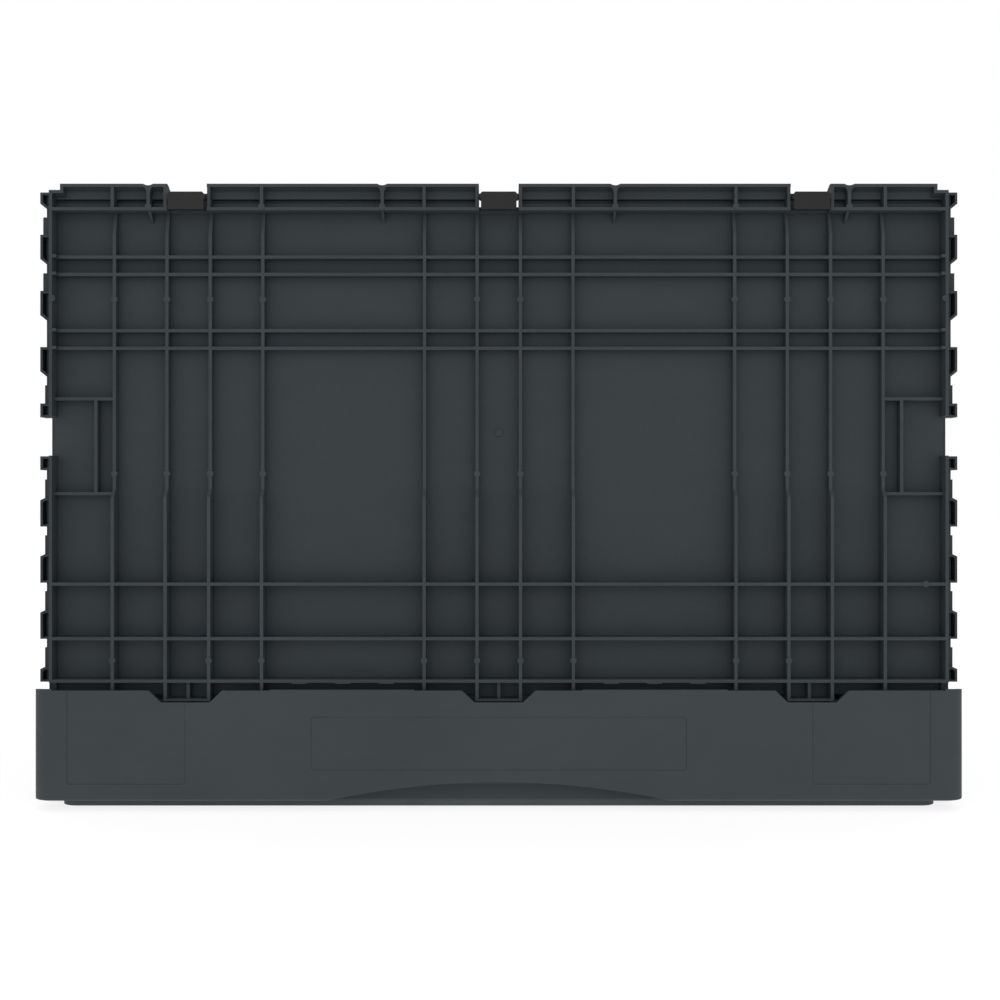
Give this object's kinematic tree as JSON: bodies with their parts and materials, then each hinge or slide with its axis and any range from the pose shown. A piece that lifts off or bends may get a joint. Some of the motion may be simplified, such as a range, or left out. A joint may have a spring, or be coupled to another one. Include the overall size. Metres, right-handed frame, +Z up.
{
  "type": "collapsible storage crate",
  "caption": "Open-topped stacking crate with ribbed walls that fold flat into a deep base tray on pin hinges, hand holes, and pivoting lid catches in the long rims.",
  "frame": {"origin": "middle of the footprint, on the ground under the foot ring", "axes": "+X along the length, +Y from the front wall to the rear wall, +Z up"},
  "size_m": [0.6, 0.4, 0.4024],
  "materials": {
    "tray_plastic": "fine grain",
    "wall_plastic": "fine grain",
    "catch_plastic": "smooth matte",
    "pin_plastic": "smooth satin"
  },
  "bodies": {
    "base": {"base_tray": "tray_plastic", "front_pin_left": "pin_plastic", "front_pin_middle": "pin_plastic", "front_pin_right": "pin_plastic", "rear_pin_left": "pin_plastic", "rear_pin_middle": "pin_plastic", "rear_pin_right": "pin_plastic", "left_pin_front": "pin_plastic", "left_pin_rear": "pin_plastic", "right_pin_front": "pin_plastic", "right_pin_rear": "pin_plastic"},
    "front_wall": {"front_wall": "wall_plastic"},
    "rear_wall": {"rear_wall": "wall_plastic"},
    "left_wall": {"left_wall": "wall_plastic"},
    "right_wall": {"right_wall": "wall_plastic"},
    "front_catch_left": {"front_catch_left": "catch_plastic"},
    "front_catch_middle": {"front_catch_middle": "catch_plastic"},
    "front_catch_right": {"front_catch_right": "catch_plastic"},
    "rear_catch_left": {"rear_catch_left": "catch_plastic"},
    "rear_catch_middle": {"rear_catch_middle": "catch_plastic"},
    "rear_catch_right": {"rear_catch_right": "catch_plastic"}
  },
  "joints": [
    {"name": "front_fold", "type": "hinge", "parent": "base", "child": "front_wall", "pos_m": [0, -0.185, 0.0656], "axis": [-1, 0, 0], "range_deg": [0, 90]},
    {"name": "rear_fold", "type": "hinge", "parent": "base", "child": "rear_wall", "pos_m": [0, 0.185, 0.0463], "axis": [1, 0, 0], "range_deg": [0, 90]},
    {"name": "left_fold", "type": "hinge", "parent": "base", "child": "left_wall", "pos_m": [-0.2932, 0, 0.0238], "axis": [0, 1, 0], "range_deg": [0, 90]},
    {"name": "right_fold", "type": "hinge", "parent": "base", "child": "right_wall", "pos_m": [0.2932, 0, 0.0346], "axis": [0, -1, 0], "range_deg": [0, 90]},
    {"name": "front_catch_left_swing", "type": "hinge", "parent": "front_wall", "child": "front_catch_left", "pos_m": [-0.2006, -0.192, 0.3946], "axis": [1, 0, 0], "range_deg": [0, 60]},
    {"name": "front_catch_middle_swing", "type": "hinge", "parent": "front_wall", "child": "front_catch_middle", "pos_m": [0, -0.192, 0.3946], "axis": [1, 0, 0], "range_deg": [0, 60]},
    {"name": "front_catch_right_swing", "type": "hinge", "parent": "front_wall", "child": "front_catch_right", "pos_m": [0.2006, -0.192, 0.3946], "axis": [1, 0, 0], "range_deg": [0, 60]},
    {"name": "rear_catch_left_swing", "type": "hinge", "parent": "rear_wall", "child": "rear_catch_left", "pos_m": [-0.2006, 0.192, 0.3946], "axis": [-1, 0, 0], "range_deg": [0, 60]},
    {"name": "rear_catch_middle_swing", "type": "hinge", "parent": "rear_wall", "child": "rear_catch_middle", "pos_m": [0, 0.192, 0.3946], "axis": [-1, 0, 0], "range_deg": [0, 60]},
    {"name": "rear_catch_right_swing", "type": "hinge", "parent": "rear_wall", "child": "rear_catch_right", "pos_m": [0.2006, 0.192, 0.3946], "axis": [-1, 0, 0], "range_deg": [0, 60]}
  ]
}
